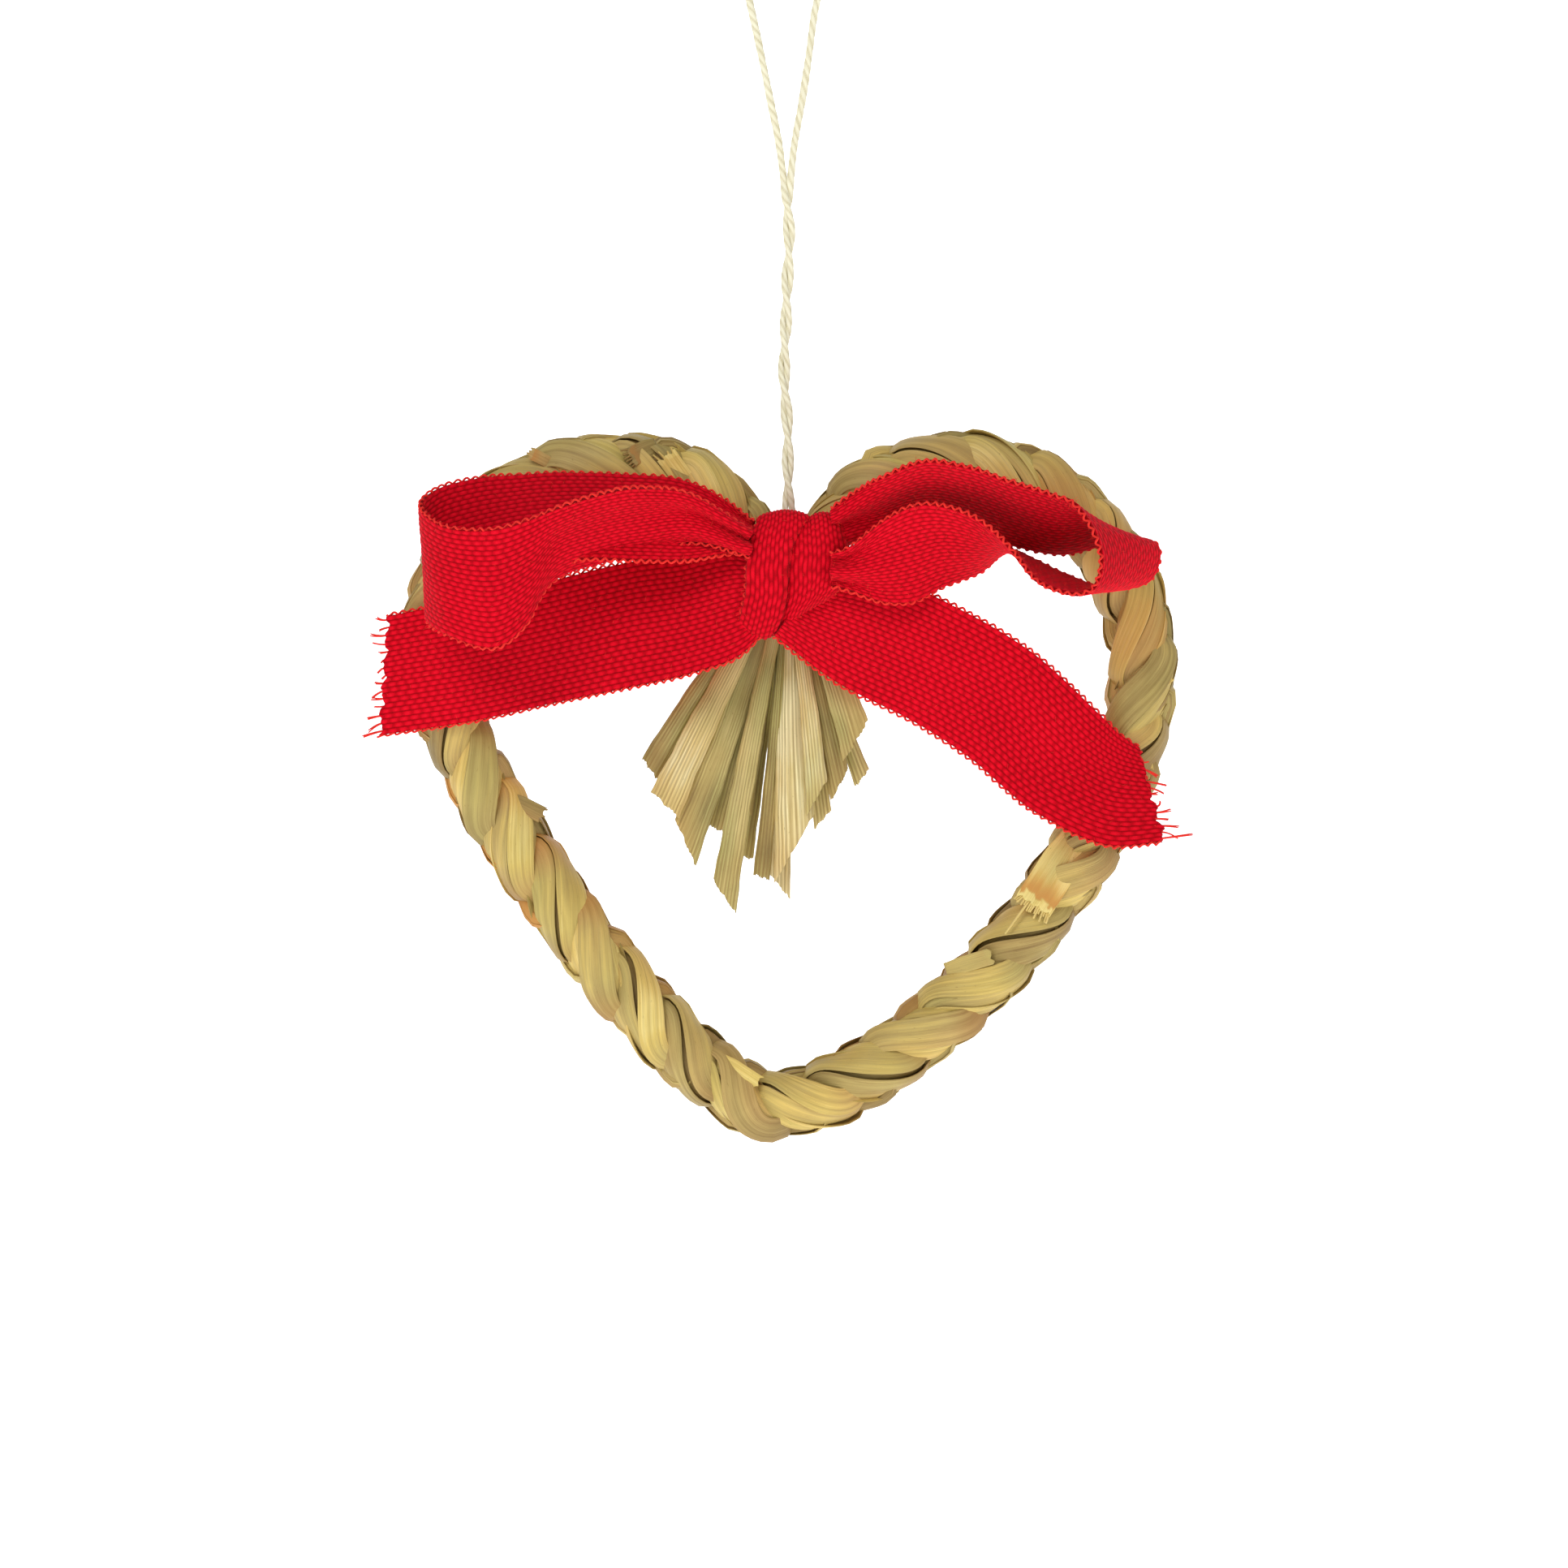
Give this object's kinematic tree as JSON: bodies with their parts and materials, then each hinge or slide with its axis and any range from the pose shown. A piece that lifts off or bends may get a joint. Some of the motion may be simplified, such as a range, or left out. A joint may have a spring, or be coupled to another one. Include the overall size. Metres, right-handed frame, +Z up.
{
  "type": "plaited straw heart ornament",
  "caption": "Hanging heart of plaited straw with a fan of cut straw ends, a woven ribbon bow over the binding and a twine loop to hang it by",
  "frame": {"origin": "inside of the crown of the twine loop, where a hook or nail carries the ornament", "axes": "+Z up; the front, with the bow, faces -Y; +X is to the right seen from the front"},
  "size_m": [0.1011, 0.0267, 0.1613],
  "materials": {
    "straw": "dried straw, satin, ribbed along its length",
    "straw_ends": "dried straw cut with scissors, satin, ribbed along its length",
    "thread": "natural cotton thread, matt",
    "ribbon": "red woven cotton ribbon, matt",
    "twine": "off-white plied cotton twine, matt"
  },
  "bodies": {
    "loop": {"twine_loop": "twine"},
    "stem_upper": {"twine_stem_upper_left": "twine", "twine_stem_upper_right": "twine"},
    "stem_lower": {"twine_stem_lower_left": "twine", "twine_stem_lower_right": "twine"},
    "heart": {"plait_strand_1": "straw", "plait_strand_2": "straw", "plait_strand_3": "straw", "straw_end_01": "straw_ends", "straw_end_02": "straw_ends", "straw_end_03": "straw_ends", "straw_end_04": "straw_ends", "straw_end_05": "straw_ends", "straw_end_06": "straw_ends", "straw_end_07": "straw_ends", "straw_end_08": "straw_ends", "straw_end_09": "straw_ends", "straw_end_10": "straw_ends", "straw_end_11": "straw_ends", "straw_end_12": "straw_ends", "straw_end_13": "straw_ends", "straw_end_14": "straw_ends", "straw_end_15": "straw_ends", "binding_thread": "thread", "ribbon_neck_band": "ribbon", "ribbon_knot": "ribbon", "ribbon_loop_left": "ribbon", "ribbon_loop_right": "ribbon", "ribbon_tail_left": "ribbon", "ribbon_tail_right": "ribbon", "twine_tie": "twine"}
  },
  "joints": [
    {"name": "side_swing", "type": "hinge", "parent": "loop", "child": "stem_upper", "pos_m": [0.0004, -0.0026, -0.0375], "axis": [0, 1, 0], "range_deg": [-30, 30]},
    {"name": "front_swing", "type": "hinge", "parent": "stem_upper", "child": "stem_lower", "pos_m": [0.0004, -0.0026, -0.0445], "axis": [1, 0, 0], "range_deg": [-30, 30]},
    {"name": "heart_spin", "type": "hinge", "parent": "stem_lower", "child": "heart", "pos_m": [0.0004, -0.0026, -0.0865], "axis": [0, 0, 1], "continuous": true}
  ]
}
